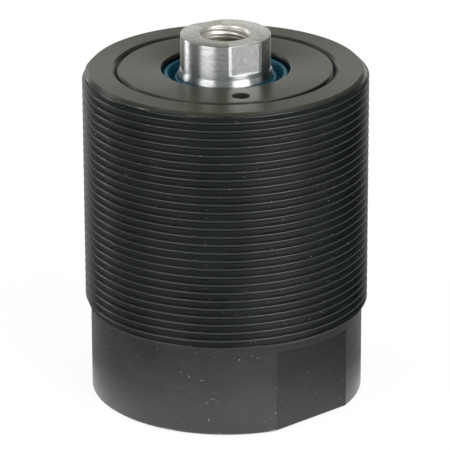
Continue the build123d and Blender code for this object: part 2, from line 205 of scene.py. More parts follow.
@dataclass(frozen=True)
class LatheCoordinates:
    """Where the points of a turned piece lie: off its axis, along it, and in which direction."""

    add: AddNode
    place: Socket
    across: Socket
    along: Socket
    turn_x: Socket
    turn_y: Socket

    @classmethod
    def of(cls, add: AddNode) -> "LatheCoordinates":
        """Works the coordinates out from the piece's own metres.

        Args:
            add: Adds a node to the material's tree.

        Returns:
            The coordinates in metres, with the direction as a unit vector.
        """
        place = add("TexCoord")["Object"]
        x, y, along = add("SeparateXYZ", (place,))
        flat = add("CombineXYZ", (x, y))[0]
        across = add("VectorMath", (flat,), operation="LENGTH")["Value"]
        unit = add("VectorMath", (flat,), operation="NORMALIZE")[0]
        turn_x, turn_y, _ = add("SeparateXYZ", (unit,))
        return cls(add, place, across, along, turn_x, turn_y)

    def lay(self, spacing: float, breaks: float) -> Socket:
        """Draws the fine rings that a lathe tool leaves, on faces and on rounds alike.

        Args:
            spacing: Distance between the rings in millimetres.
            breaks: How often a ring changes as it goes round.

        Returns:
            The rings, from 0 to 1.
        """
        rate = 1 / (spacing * MM)
        rates = (rate, rate, breaks, breaks)
        values = (self.across, self.along, self.turn_x, self.turn_y)
        across, along, turn_x, turn_y = (
            self.add("Math", pair, operation="MULTIPLY")[0] for pair in zip(values, rates)
        )
        vector = self.add("CombineXYZ", (across, along, turn_x))[0]
        noise = {"Vector": vector, "W": turn_y, "Scale": 1.0, "Detail": RING_DETAIL}
        return self.add("TexNoise", noise, noise_dimensions="4D")[0]

    def zone(self, across: Point, along: Point, ramp: float = 0.1) -> Socket:
        """Finds the points inside a ring of a square section.

        Args:
            across: The ring's inner and outer radius in millimetres.
            along: Its lower and upper level.
            ramp: How far inside its edges the ring is full.

        Returns:
            1 inside, 0 outside.
        """
        share: SocketValue = 1.0
        for value, (low, high) in ((self.across, across), (self.along, along)):
            for edge, step in ((low, ramp), (high, -ramp)):
                side = self.add("MapRange", (value, edge * MM, (edge + step) * MM))[0]
                share = self.add("Math", (share, side), operation="MULTIPLY")[0]
        return share

    def edge_share(self, radius: float, level: float, width: float) -> Socket:
        """Finds how close a point is to a turned edge.

        Args:
            radius: The edge's radius in millimetres.
            level: Its height.
            width: How far from it the share reaches.

        Returns:
            1 on the edge, falling to 0 at the width.
        """
        across = self.add("Math", (self.across, radius * MM), operation="SUBTRACT")[0]
        along = self.add("Math", (self.along, level * MM), operation="SUBTRACT")[0]
        gap = self.add("CombineXYZ", (across, along))[0]
        length = self.add("VectorMath", (gap,), operation="LENGTH")["Value"]
        return self.add("MapRange", (length, 0.0, width * MM, 1.0, 0.0))[0]

    def drawn_gloss(self, anisotropy: float) -> dict[int | str, SocketValue]:
        """Draws the gloss out across the tool marks, as rings round the axis do.

        Args:
            anisotropy: How much longer than wide the gloss is, from 0 to 1.

        Returns:
            The shader's inputs for it.
        """
        return {
            "Anisotropic": anisotropy,
            "Anisotropic Rotation": ACROSS_THE_LAY,
            "Tangent": self.add("Tangent", direction_type="RADIAL", axis="Z")[0],
        }


# Finishes


@dataclass(frozen=True)
class BlackOxideSteel:
    """Steel turned on a lathe, then blackened in a hot oxide bath and oiled.

    The thin oxide is dark and a little glassy. It hides the metal's own mirror, but at a low angle
    it shines like glazed pottery, and the tool marks under it draw every light out across the lay.
    The chamfer and the top are painted paler and browner, a painted sheen for the light that they
    catch, and the thread's crests paler, a painted highlight. The thread's roots and the seam round
    the gland are painted dark, a painted shade in those recesses, and are dull. Pale patches along
    the turned edges are wear and painted glints together. Its specks are drawn coarser than real
    ones, so that they show.
    """

    name: str
    edges: tuple[Point, ...]
    top: float
    crest: float = 0.0
    thread: Point = (0.0, 0.0)
    seam: Point = (0.0, 0.0)
    film: str = "0c1010"
    thin_film: str = "1a1f1e"
    # Painted sheen: the chamfer and the top are painted paler and browner for the light that they
    # catch
    chamfer_film: str = "2b2c25"
    top_film: str = "2f3021"
    # Painted highlight: the thread's crests are painted paler
    crest_film: str = "1d2121"
    # Painted shade: the thread's roots and the seam round the gland are painted dark
    root_film: str = "060808"
    # Pale wear on specks and edges, which on the edges also stands in for painted glints
    worn: str = "a3a196"
    thin_span: Point = (0.35, 0.7)
    chamfer_fade: Point = (0.9, 0.7)
    top_fade: Point = (0.15, 0.13)
    crest_band: Point = (-0.12, 1.0)
    root_depth: float = 0.5
    seam_drop: float = 0.03
    roughness: float = 0.27
    roughness_spread: Point = (-0.03, 0.09)
    top_roughness: float = 0.38
    root_roughness: float = 0.6
    ior: float = 1.56
    anisotropy: float = 0.55
    tool_feed: float = 0.11
    feed_depth: float = 0.0022
    feed_strength: float = 0.6
    ring_breaks: float = 1.4
    broad_rings: float = 8.0
    broad_breaks: float = 2.5
    stain: Point = (9.0, 3.0)
    specks: Point = (0.4, 2.0)
    speck_span: Point = (0.72, 0.77)
    speck_share: float = 0.8
    wear_span: Point = (0.5, 0.62)
    edge_width: float = 0.16

    def material(self) -> bpy.types.Material:
        """Builds the node material.

        Returns:
            The blackened steel.
        """
        material = bpy.data.materials.new(self.name)
        add = empty_tree(material)
        lathe = LatheCoordinates.of(add)
        rings = lathe.lay(self.tool_feed, self.ring_breaks)
        broad_rings = lathe.lay(self.broad_rings * self.tool_feed, self.broad_breaks)
        stain, specks = (
            add("TexNoise", {"Vector": lathe.place, "Scale": 1 / (size * MM), "Detail": detail})[0]
            for size, detail in (self.stain, self.specks)
        )
        layers = [(add("MapRange", (stain, *self.thin_span))[0], self.thin_film)]
        # The chamfer and the top fade into their painted sheen
        fades = ((self.chamfer_fade, self.chamfer_film), (self.top_fade, self.top_film))
        for (below, span), shade in fades:
            level = self.top - below
            on_top = add("MapRange", (lathe.along, level * MM, (level + span) * MM))[0]
            layers.append((on_top, shade))
        # Painted shade in the recesses: the seam and the thread's roots are painted darker, and are
        # duller
        dull = lathe.zone(self.seam, (0.0, self.top - self.seam_drop))
        if self.crest:
            root = lathe.zone((0.0, self.crest - self.root_depth), self.thread)
            dull = add("Math", (dull, root), operation="MAXIMUM")[0]
            # Painted highlight along the thread's crests
            inner, outer = (self.crest + step for step in self.crest_band)
            layers.append((lathe.zone((inner, outer), self.thread), self.crest_film))
        wear = add("MapRange", (specks, *self.speck_span, 0.0, self.speck_share))[0]
        patches = add("MapRange", (stain, *self.wear_span))[0]
        # The turned edges are worn pale in patches, which also paints glints along them
        for radius, level in self.edges:
            near = lathe.edge_share(radius, level, self.edge_width)
            worn = add("Math", (near, patches), operation="MULTIPLY")[0]
            wear = add("Math", (wear, worn), operation="MAXIMUM")[0]
        layers += [(dull, self.root_film), (wear, self.worn)]
        smooth, rough = (self.roughness + step for step in self.roughness_spread)
        roughness = add("MapRange", (broad_rings, *RING_SPAN, smooth, rough))[0]
        for share, value in ((on_top, self.top_roughness), (dull, self.root_roughness)):
            roughness = add("Mix", {0: share, 2: roughness, 3: value}, data_type="FLOAT")[0]
        inputs = {
            "Base Color": layer_colours(add, self.film, layers),
            "Roughness": roughness,
            "IOR": self.ior,
        }
        bumps = [(rings, self.feed_strength, self.feed_depth)]
        set_surface(add, inputs | lathe.drawn_gloss(self.anisotropy), bumps)
        return material


@dataclass(frozen=True)
class BareSteel:
    """Bare steel with a turned, ground, milled or faced lay.

    It is a full mirror with fine rings round it, so each lamp becomes a streak along the axis. The
    grain is the unevenness of those rings. Deep in a hole it is painted a darker brown, a painted
    shade in the recess.
    """

    name: str
    metal: str
    shade: str
    roughness: float
    anisotropy: float
    tool_feed: float
    feed_depth: float
    grain: float = 0.3
    grain_breaks: float = 5.0
    grain_depth: float = 0.0
    grain_span: Point = (0.32, 0.68)
    ring_breaks: float = 1.6
    roughness_spread: Point = (-0.04, 0.05)
    bump_strength: float = 0.5
    # Painted shade: the colour and the levels between which it darkens the metal, in a hole
    oil: str = "5d553f"
    oily: Point = (0.0, -1.0)

    def material(self) -> bpy.types.Material:
        """Builds the node material.

        Returns:
            The steel.
        """
        material = bpy.data.materials.new(self.name)
        add = empty_tree(material)
        lathe = LatheCoordinates.of(add)
        rings = lathe.lay(self.tool_feed, self.ring_breaks)
        grain = lathe.lay(self.grain, self.grain_breaks)
        clouds = add("MapRange", (grain, *self.grain_span))[0]
        oil = add("MapRange", (lathe.along, *(level * MM for level in self.oily)))[0]
        smooth, rough = (self.roughness + step for step in self.roughness_spread)
        inputs = {
            "Base Color": layer_colours(add, self.metal, ((clouds, self.shade), (oil, self.oil))),
            "Metallic": 1.0,
            "Roughness": add("MapRange", (rings, *RING_SPAN, smooth, rough))[0],
        }
        bumps = (
            (rings, self.bump_strength, self.feed_depth),
            (grain, self.bump_strength, self.grain_depth),
        )
        set_surface(add, inputs | lathe.drawn_gloss(self.anisotropy), bumps)
        return material


@dataclass(frozen=True)
class SealPolymer:
    """A moulded or turned seal material.

    It is dull against the steel, with a soft broad shine and the faint skin of its mould, which is
    drawn a few times coarser than the real one, so that it shows.
    """

    name: str
    base: str
    shade: str
    roughness: float
    ior: float
    grain: float
    grain_depth: float
    glow: float = 0.0
    glow_depth: float = 1.0
    grain_detail: float = 4.0
    bump_strength: float = 0.5

    def material(self) -> bpy.types.Material:
        """Builds the node material.

        Returns:
            The polymer.
        """
        material = bpy.data.materials.new(self.name)
        add = empty_tree(material)
        noise = {
            "Vector": add("TexCoord")["Object"],
            "Scale": 1 / (self.grain * MM),
            "Detail": self.grain_detail,
        }
        grain = add("TexNoise", noise)[0]
        inputs = {
            "Base Color": layer_colours(add, self.base, [(grain, self.shade)]),
            "Roughness": self.roughness,
            "IOR": self.ior,
            "Subsurface Weight": self.glow,
            "Subsurface Scale": self.glow_depth * MM,
        }
        set_surface(add, inputs, [(grain, self.bump_strength, self.grain_depth)])
        return material


Finish = BlackOxideSteel | BareSteel | SealPolymer

# Rod steel turned at a fine feed: bright and satin, with long streaks along the axis
TURNED_ROD = BareSteel(
    "turned_bright_rod_steel", "dedfde", "bbbcbb", roughness=0.37, anisotropy=0.97,
    tool_feed=0.1, feed_depth=0.002, grain_breaks=7.0, grain_depth=0.006,
)
# Hard chrome, ground: a cool near-mirror. Its marks are drawn coarser than real, so they show
GROUND_ROD = BareSteel(
    "ground_chromed_rod", "e2e4e5", "d3d5d6", roughness=0.24, anisotropy=0.9,
    tool_feed=0.05, feed_depth=0.0008, grain_breaks=7.0,
)
# Rod steel milled flat: paler and matt, with short marks instead of rings
MILLED_ROD_FLAT = BareSteel(
    "milled_bright_rod_flat", "f4f5f5", "d2d4d3", roughness=0.38, anisotropy=0.2,
    tool_feed=0.3, feed_depth=0.006, grain=0.7, grain_breaks=30.0, grain_depth=0.025,
)
# Rod steel faced across its end: the palest, with faint rings about the hole
FACED_ROD_END = BareSteel(
    "faced_bright_rod_end", "f6f6ef", "cbcbc2", roughness=0.42, anisotropy=0.05,
    tool_feed=0.14, feed_depth=0.003, grain_breaks=9.0, grain_depth=0.015,
)
# Rod steel cut by a tap: matt on the crests, and painted a darker brown further down the hole, a
# painted shade in the recess
TAPPED_HOLE = BareSteel(
    "tapped_bright_rod_hole", "e8e6df", "cfccc2", roughness=0.5, anisotropy=0.1,
    tool_feed=0.15, feed_depth=0.002,
)
# Plain steel, turned: a warm middle grey
TURNED_STEEL = BareSteel(
    "turned_piston_steel", "a8a7a3", "8b8a86", roughness=0.32, anisotropy=0.6,
    tool_feed=0.12, feed_depth=0.002,
)
# Cast polyurethane, dyed blue: deep and slightly translucent, so its lip glows at the edge
BLUE_POLYURETHANE = SealPolymer(
    "moulded_blue_polyurethane", "04586d", "034254", roughness=0.38, ior=1.45,
    grain=0.6, grain_depth=0.01, glow=0.1,
)
# Polyurethane without dye: a waxy, cloudy green
SEAL_POLYURETHANE = SealPolymer(
    "moulded_seal_polyurethane", "a8b79a", "97a688", roughness=0.35, ior=1.5,
    grain=0.6, grain_depth=0.01, glow=0.2,
)
# Nitrile rubber, filled with soot: nearly black and matt
NITRILE_RUBBER = SealPolymer(
    "moulded_nitrile_rubber", "1b1b1c", "262627", roughness=0.5, ior=1.52,
    grain=0.4, grain_depth=0.02,
)
# Cotton cloth in phenolic resin, turned: tobacco brown, mottled by its weave
GUIDE_RESIN = SealPolymer(
    "turned_phenolic_cloth", "7a4a2b", "5d371f", roughness=0.5, ior=1.55,
    grain=0.25, grain_depth=0.01,
)
# PTFE, turned: milky white with a waxy shine
WHITE_PTFE = SealPolymer(
    "turned_white_ptfe", "e6e4dc", "d9d7cf", roughness=0.4, ior=1.35,
    grain=0.5, grain_depth=0.008, glow=0.2,
)


# Turned meshes


def add_object(name: str, data: bpy.types.ID) -> bpy.types.Object:
    """Adds an object to the scene.

    Args:
        name: Its name.
        data: Its mesh, lamp or camera.

    Returns:
        The object.
    """
    item = bpy.data.objects.new(name, data)
    bpy.context.scene.collection.objects.link(item)
    return item


def round_corner(
    legs: Sequence[Point], size: float, steps: int, most: float, scale: Point = (1.0, 1.0)
) -> np.ndarray:
    """Rounds a corner with a curve that leaves both of its legs smoothly.

    Args:
        legs: The point before the corner, the corner and the point after it.
        size: How far along each leg the curve begins, in millimetres.
        steps: Points on the curve.
        most: The largest share of a leg that the curve takes.
        scale: What turns the points into millimetres.

    Returns:
        The curve's points.
    """
    before, corner, after = np.array(legs, dtype=float)
    ends = []
    for leg in (before - corner, after - corner):
        length = max(float(np.linalg.norm(leg * scale)), SHORTEST_LEG)
        ends.append(corner + leg * min(size / length, most))
    share = np.linspace(0, 1, steps)[:, None]
    return (1 - share) ** 2 * ends[0] + 2 * share * (1 - share) * corner + share**2 * ends[1]


class Side(Enum):
    """Which side of the metal a thread is cut on."""

    OUTSIDE = "outside"
    INSIDE = "inside"


@dataclass(frozen=True)
class Flats:
    """Two parallel flats milled across a turned shape, with their upright corners broken."""

    half_width: float
    angle: float
    corner_break: float = 0.0
    least_cosine: float = 0.01
    level_cosine: float = 0.999
    tolerance: float = 0.02

    def inset(self, size: float) -> "Flats":
        """Gives the same flats nearer to the axis by a size, with sharp corners."""
        return Flats(self.half_width - size, self.angle)

    def broken_corner(self, radius: float) -> Point:
        """Gives the turn of a broken corner's plane from its flat, and its distance."""
        lean = acos(self.half_width / radius) / 2
        return lean, radius * cos(lean) - self.corner_break

    def cap(self, turn: np.ndarray, radius: float) -> np.ndarray:
        """Holds a radius within the flats.

        Args:
            turn: Angles about the axis.
            radius: The turned radius there.

        Returns:
            The radius with the flats cut.
        """
        lean, corner = self.broken_corner(radius)
        capped = np.full_like(turn, radius)
        for tilt, distance in ((0.0, self.half_width), (-lean, corner), (lean, corner)):
            for pole in (0, pi):
                cosine = np.cos(turn - self.angle - pole - tilt)
                capped = np.minimum(capped, distance / np.maximum(cosine, self.least_cosine))
        return capped

    def holds(self, face: bpy.types.MeshPolygon) -> bool:
        """Tells whether a face of the mesh lies on one of the flats.

        Args:
            face: The face.

        Returns:
            True on a flat.
        """
        across = Vector((cos(self.angle), sin(self.angle), 0.0))
        off = abs(face.center.dot(across)) / MM - self.half_width
        return abs(face.normal.dot(across)) > self.level_cosine and abs(off) < self.tolerance

    def corners(self, radius: float) -> list[float]:
        """Gives the angles at which the flats' broken corners begin and end on a circle.

        Args:
            radius: The circle's radius.

        Returns:
            The angles about the axis.
        """
        lean, distance = self.broken_corner(radius)
        inner = atan((distance / self.half_width - cos(lean)) / sin(lean))
        outer = lean + acos(distance / radius)
        return [
            self.angle + pole + side * corner
            for pole in (0, pi)
            for side in (-1, 1)
            for corner in (inner, outer)
        ]


@dataclass(frozen=True)
class ThreadForm:
    """A right-hand 60 degree screw thread, as a radius that changes along the pitch.

    The flat on its ridge is a share of the pitch, and its ridge crosses the +X side at a level.
    """

    major: float
    minor: float
    pitch: float
    top_flat: float
    ridge_at: float
    top_round: float = 0.09
    root_round: float = 0.26
    round_steps: int = 5
    round_most: float = 0.9
    flank_rows: Point = (0.35, 0.7)
    flank_end: float = 0.3

    @classmethod
    def outside(cls, major: float, pitch: float, top_flat: float, ridge_at: float) -> "ThreadForm":
        """Gives the form of a full outside thread from its major radius and pitch."""
        return cls(major, major - OUTSIDE_DEPTH * pitch, pitch, top_flat, ridge_at)

    def outline(self) -> tuple[np.ndarray, np.ndarray]:
        """Works out half a pitch of the form, from the ridge's middle to the root's.

        Returns:
            Shares of the pitch from 0 to 0.5, and the radius at each.
        """
        flank = (self.major - self.minor) * tan(FLANK_LEAN) / self.pitch
        top = self.top_flat / 2
        shape = np.array(
            [(0.0, self.major), (top, self.major), (top + flank, self.minor), (0.5, self.minor)]
        )
        rounding = (self.round_steps, self.round_most, (self.pitch, 1.0))
        crest = round_corner(shape[:3], self.top_round, *rounding)
        root = round_corner(shape[1:], self.root_round, *rounding)
        foot = shape[2] + (shape[1] - shape[2]) * self.flank_end
        rows = [crest[-1] + (foot - crest[-1]) * step for step in self.flank_rows]
        points = np.vstack([shape[:1], crest, rows, root, shape[3:]])
        return points[:, 0], points[:, 1]

    def rows(self) -> np.ndarray:
        """Gives the sorted shares of a pitch, from 0 to 1, at which the mesh needs a row."""
        shares, _ = self.outline()
        return np.unique(np.round(np.concatenate([shares[:-1], 1 - shares[1:]]) % 1.0, 6))

    def radius(self, height: np.ndarray, turn: np.ndarray) -> np.ndarray:
        """Gives the thread's radius at any place.

        Args:
            height: Heights along the axis.
            turn: Angles about it.

        Returns:
            The radii.
        """
        share = (height - self.ridge_at) / self.pitch - turn / (2 * pi)
        shares, radii = self.outline()
        return np.interp(np.abs(share - np.round(share)), shares, radii)


class TurnedSolid:
    """A closed mesh turned about the axis, made of rings and threaded stretches in order."""

    slope_rows = 10
    most_of_leg = 0.45

    def __init__(self, columns: int, extra_turns: Sequence[float] = ()) -> None:
        """Sets the mesh's columns.

        Args:
            columns: How many columns go round.
            extra_turns: Angles that must have a column too.
        """
        even = np.linspace(0, 2 * pi, columns + 1)
        extra = np.mod(np.array(list(extra_turns)), 2 * pi)
        self.turn = np.unique(np.concatenate([even, extra]))
        self.radii: list[np.ndarray] = []
        self.heights: list[np.ndarray] = []

    def ring(self, radius: float, height: float, flats: Flats | None = None) -> None:
        """Adds one level ring.

        Args:
            radius: Its radius in millimetres.
            height: Its height in millimetres.
            flats: Flats that cut it.
        """
        turned = np.full_like(self.turn, radius) if flats is None else flats.cap(self.turn, radius)
        self.radii.append(turned)
        self.heights.append(np.full_like(self.turn, height))

    def outline(self, points: Sequence[Point], edge_break: float = 0.0, steps: int = 3) -> None:
        """Adds rings along an outline, with its inner corners rounded off.

        Args:
            points: Radius and height of each corner.
            edge_break: Size of the rounding in millimetres.
            steps: Rings to each rounded corner.
        """
        for place, point in enumerate(points):
            if place in (0, len(points) - 1) or edge_break == 0:
                self.ring(*point)
                continue
            legs = points[place - 1 : place + 2]
            for radius, height in round_corner(legs, edge_break, steps, self.most_of_leg):
                self.ring(radius, height)

    def thread(
        self, form: ThreadForm, envelope: Sequence[Point], side: Side, rising: bool = True
    ) -> None:
        """Adds a threaded stretch.

        Args:
            form: The thread.
            envelope: Radius and height of the blank's corners, from the lowest up.
            side: Whether the thread is on the outside or in a hole.
            rising: Whether the outline goes up here.
        """
        blank_radii, levels = zip(*envelope)
        low, high = levels[0], levels[-1]
        first = floor((low - form.ridge_at) / form.pitch) - 2
        last = ceil((high - form.ridge_at) / form.pitch) + 2
        starts = (np.arange(first, last)[:, None] + form.rows()[None, :]).ravel() * form.pitch
        heights = form.ridge_at + starts[None, :] + form.pitch * self.turn[:, None] / (2 * pi)
        even = list(levels)
        for (wide, below), (narrow, above) in zip(envelope[:-1], envelope[1:]):
            if wide != narrow:
                even.extend(np.linspace(below, above, self.slope_rows)[1:-1])
        even_rows = np.tile(np.array(even), (len(self.turn), 1))
        heights = np.hstack([np.clip(heights, low, high), even_rows])
        heights.sort(axis=1)
        blank = np.interp(heights, levels, blank_radii)
        shape = form.radius(heights, self.turn[:, None])
        radii = np.minimum(shape, blank) if side is Side.OUTSIDE else np.maximum(shape, blank)
        step = 1 if rising else -1
        self.radii.extend(radii.T[::step])
        self.heights.extend(heights.T[::step])

    def build(self, name: str, centre: Point = (0.0, 0.0)) -> bpy.types.Object:
        """Makes the mesh object, in metres.

        Args:
            name: The object's name.
            centre: Place of the turned axis in millimetres.

        Returns:
            The new object, with no material.
        """
        radii = np.array(self.radii).T
        heights = np.array(self.heights).T
        columns, rows = radii.shape
        across = centre[0] + radii * np.cos(self.turn)[:, None]
        back = centre[1] + radii * np.sin(self.turn)[:, None]
        places = np.stack([across, back, heights], axis=-1)
        ends_on_axis = radii[:, 0].max() == 0 and radii[:, -1].max() == 0
        steps = np.arange(rows - 1 if ends_on_axis else rows)
        column = np.arange(columns - 1)[:, None] * rows
        low = column + steps[None, :]
        high = column + ((steps + 1) % rows)[None, :]
        faces = np.stack([low, low + rows, high + rows, high], axis=-1).reshape(-1, 4)
        mesh = bpy.data.meshes.new(name)
        mesh.from_pydata((places.reshape(-1, 3) * MM).tolist(), [], faces.tolist())
        work = bmesh.new()
        work.from_mesh(mesh)
        bmesh.ops.remove_doubles(work, verts=work.verts, dist=MERGE_DISTANCE)
        loose = [edge for edge in work.edges if not edge.link_faces]
        bmesh.ops.delete(work, geom=loose, context="EDGES")
        bmesh.ops.recalc_face_normals(work, faces=work.faces)
        work.to_mesh(mesh)
        work.free()
        return add_object(name, mesh)


def cut(piece: bpy.types.Object, cutters: Sequence[bpy.types.Object]) -> None:
    """Cuts closed shapes out of a piece and removes them.

    Args:
        piece: The object to cut.
        cutters: The shapes to take away.
    """
    for cutter in cutters:
        bite = piece.modifiers.new("cut", "BOOLEAN")
        bite.operation = "DIFFERENCE"
        bite.solver = "MANIFOLD"
        bite.object = cutter
    graph = bpy.context.evaluated_depsgraph_get()
    result = bpy.data.meshes.new_from_object(piece.evaluated_get(graph))
    piece.modifiers.clear()
    piece.data = result
    for cutter in cutters:
        bpy.data.objects.remove(cutter)


def mark_upright_edges(mesh: bpy.types.Mesh) -> None:
    """Keeps the low-angled edges that run along the axis crisp, as where a flat meets a round.

    Args:
        mesh: The mesh.
    """
    work = bmesh.new()
    work.from_mesh(mesh)
    for edge in work.edges:
        run = edge.verts[1].co - edge.verts[0].co
        upright = abs(run.z) > UPRIGHT_SHARE * run.length
        if upright and len(edge.link_faces) == 2 and edge.calc_face_angle() > UPRIGHT_ANGLE:
            edge.smooth = False
    work.to_mesh(mesh)
    work.free()


def finish_piece(
    piece: bpy.types.Object, finish: Finish, body: str, slot: str, *nodes: str
) -> None:
    """Shades a piece, gives it its finish and ties it to the frame.

    Args:
        piece: The object.
        finish: Its finish.
        body: The body that it rides on.
        slot: The record's material slot; it is not used.
        *nodes: The model's nodes that it stands for.
    """
    piece.data.materials.clear()
    piece.data.materials.append(finish.material())
    piece.data.shade_smooth()
    piece.data.set_sharp_from_angle(angle=SHARP_ANGLE)
    mark_upright_edges(piece.data)
    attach(piece, body)
    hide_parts(*nodes)
    log.info("%s: %d faces on %s", piece.name, len(piece.data.polygons), body)


def dress_faces(
    piece: bpy.types.Object, finish: Finish, belongs: Callable[[bpy.types.MeshPolygon], bool]
) -> None:
    """Gives some faces of a piece their own finish.

    Args:
        piece: The piece.
        finish: The finish.
        belongs: Tells whether a face gets it.
    """
    piece.data.materials.append(finish.material())
    for face in piece.data.polygons:
        if belongs(face):
            face.material_index = len(piece.data.materials) - 1


def extent(node: str) -> Place:
    """Reads a turned node's widest radius, lowest and highest level in millimetres."""
    low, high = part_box(node)
    return max(high.x, high.y) / MM, low.z / MM, high.z / MM


# Sub-assemblies


@dataclass
class ThreadedBody:
    """The blackened body: wrench flats below, a 16 to the inch thread above, ports underneath."""

    top_chamfer: float = 1.33
    ridge_flat: float = 0.16
    lower_radius: float = 25.95
    lower_height: float = 17.3
    bottom_break: float = 0.25
    flats: Flats = Flats(24.4, radians(-49.0))
    flat_height: float = 16.0
    mouth_chamfer: float = 0.63
    seam_share: float = 0.25
    gland_radius: float = 20.6375
    gland_clearance: float = 0.06
    gland_thread_length: float = 9.2
    gland_ridge_flat: float = 0.14
    gland_rounds: Point = (0.06, 0.04)
    relief_length: float = 1.5
    relief_depth: float = 0.35
    seal_bore: float = 19.0
    seal_bore_lead: float = 0.6
    bore: float = 16.0
    base: float = 16.5
    gallery_height: float = 1.2
    port_pitch: float = 0.907
    port_major: float = 4.864
    port_minor: float = 4.283
    port_ridge_flat: float = 0.16
    port_ridge_at: float = 0.2
    port_rounds: Point = (0.04, 0.04)
    port_depth: float = 10.0
    port_run_out: float = 1.2
    port_offset: float = 15.8
    port_chamfer: float = 0.5
    advance_drilling: float = 1.6
    advance_offset: float = 13.2
    retract_drilling: float = 1.3
    retract_offset: float = 18.8

    def port_cutter(self, side: int) -> bpy.types.Object:
        """Makes the shape of one threaded port.

        Args:
            side: -1 for the advance port, 1 for the retract port.

        Returns:
            The cutter.
        """
        minor = self.port_minor
        form = ThreadForm(
            self.port_major, minor, self.port_pitch, self.port_ridge_flat, self.port_ridge_at,
            *self.port_rounds,
        )
        wide = self.port_major + self.port_chamfer
        blank = [(wide, 0.0), (minor, wide - minor), (minor, self.port_depth - self.port_run_out)]
        cutter = TurnedSolid(columns=96)
        cutter.ring(0, -OVERRUN)
        cutter.ring(wide + OVERRUN, -OVERRUN)
        cutter.thread(form, blank, Side.INSIDE)
        cutter.ring(minor, self.port_depth)
        cutter.ring(0, self.port_depth + minor / tan(DRILL_POINT))
        return cutter.build("port_cutter", (side * self.port_offset, 0.0))

    def drilling_cutter(self, radius: float, offset: float, end: float) -> bpy.types.Object:
        """Makes the shape of one oil drilling, which starts inside its port.

        Args:
            radius: The drill's radius.
            offset: Its place along X.
            end: The level where it breaks out.

        Returns:
            The cutter.
        """
        start = self.port_depth - 2 * radius
        top = end + OVERRUN
        cutter = TurnedSolid(columns=32)
        cutter.outline([(0, start), (radius, start), (radius, top), (0, top)])
        return cutter.build("drilling_cutter", (offset, 0.0))

    def build(self) -> None:
        """Makes the body and dresses it."""
        outer, _, height = extent("cylinder_body")
        gland_end = height - self.gland_thread_length
        relief_end = gland_end - self.relief_length
        gallery = extent("gland_nut")[1] - self.gallery_height
        mouth = self.gland_radius + self.gland_clearance
        edge = self.bottom_break
        solid = TurnedSolid(columns=288, extra_turns=self.flats.corners(self.lower_radius))
        solid.ring(0, 0)
        solid.ring(self.lower_radius - edge, 0, self.flats.inset(edge))
        solid.ring(self.lower_radius, edge, self.flats)
        solid.ring(self.lower_radius, self.flat_height, self.flats)
        solid.ring(self.lower_radius, self.flat_height)
        outer_blank = [
            (self.lower_radius, self.lower_height),
            (outer, self.lower_height + outer - self.lower_radius),
            (outer, height - self.top_chamfer), (outer - self.top_chamfer, height),
        ]
        outer_form = ThreadForm.outside(outer, BODY_PITCH, self.ridge_flat, BODY_RIDGE)
        solid.thread(outer_form, outer_blank, Side.OUTSIDE)
        inner_depth = INSIDE_DEPTH * BODY_PITCH
        minor = mouth - inner_depth
        inner_form = ThreadForm(
            mouth, minor, BODY_PITCH, self.gland_ridge_flat, BODY_RIDGE, *self.gland_rounds
        )
        inner_blank = [
            (minor, gland_end), (minor, height - self.mouth_chamfer - inner_depth),
            (mouth + self.mouth_chamfer, height),
        ]
        solid.thread(inner_form, inner_blank, Side.INSIDE, rising=False)
        solid.outline([
            (mouth + self.relief_depth, gland_end), (mouth + self.relief_depth, relief_end),
            (self.seal_bore + self.seal_bore_lead / 2, relief_end),
            (self.seal_bore, relief_end - self.seal_bore_lead), (self.seal_bore, gallery),
            (self.bore, gallery), (self.bore, self.base), (0, self.base),
        ])
        body = solid.build("threaded_body")
        cutters = [self.port_cutter(side) for side in (-1, 1)]
        cutters.append(self.drilling_cutter(self.advance_drilling, -self.advance_offset, self.base))
        cutters.append(self.drilling_cutter(self.retract_drilling, self.retract_offset, gallery))
        cut(body, cutters)
        half_chamfer = self.top_chamfer / 2
        turned = BlackOxideSteel(
            "turned_black_oxide_steel",
            # Edges worn pale in patches, with painted glints: the chamfer's middle and the bottom
            # break
            edges=((outer - half_chamfer, height - half_chamfer), (self.lower_radius, edge)),
            top=height,
            # The thread's crests get the painted highlight
            crest=outer,
            thread=(self.lower_height, height - self.top_chamfer),
            # The painted shade fills the mouth and the bore
            seam=(0.0, mouth + self.seam_share * self.mouth_chamfer),
        )
        # Milled before the bath: short marks, so the flats keep a plain, paler grey
        milled = BlackOxideSteel(
            "milled_black_oxide_steel",
            edges=(),
            top=height,
            film="121615",
            thin_film="181c1b",
            roughness=0.33,
            ior=1.41,
            anisotropy=0.2,
            tool_feed=0.3,
        )
        finish_piece(body, turned, "cylinder", "black_oxide_steel", "cylinder_body")
        dress_faces(body, milled, self.flats.holds)


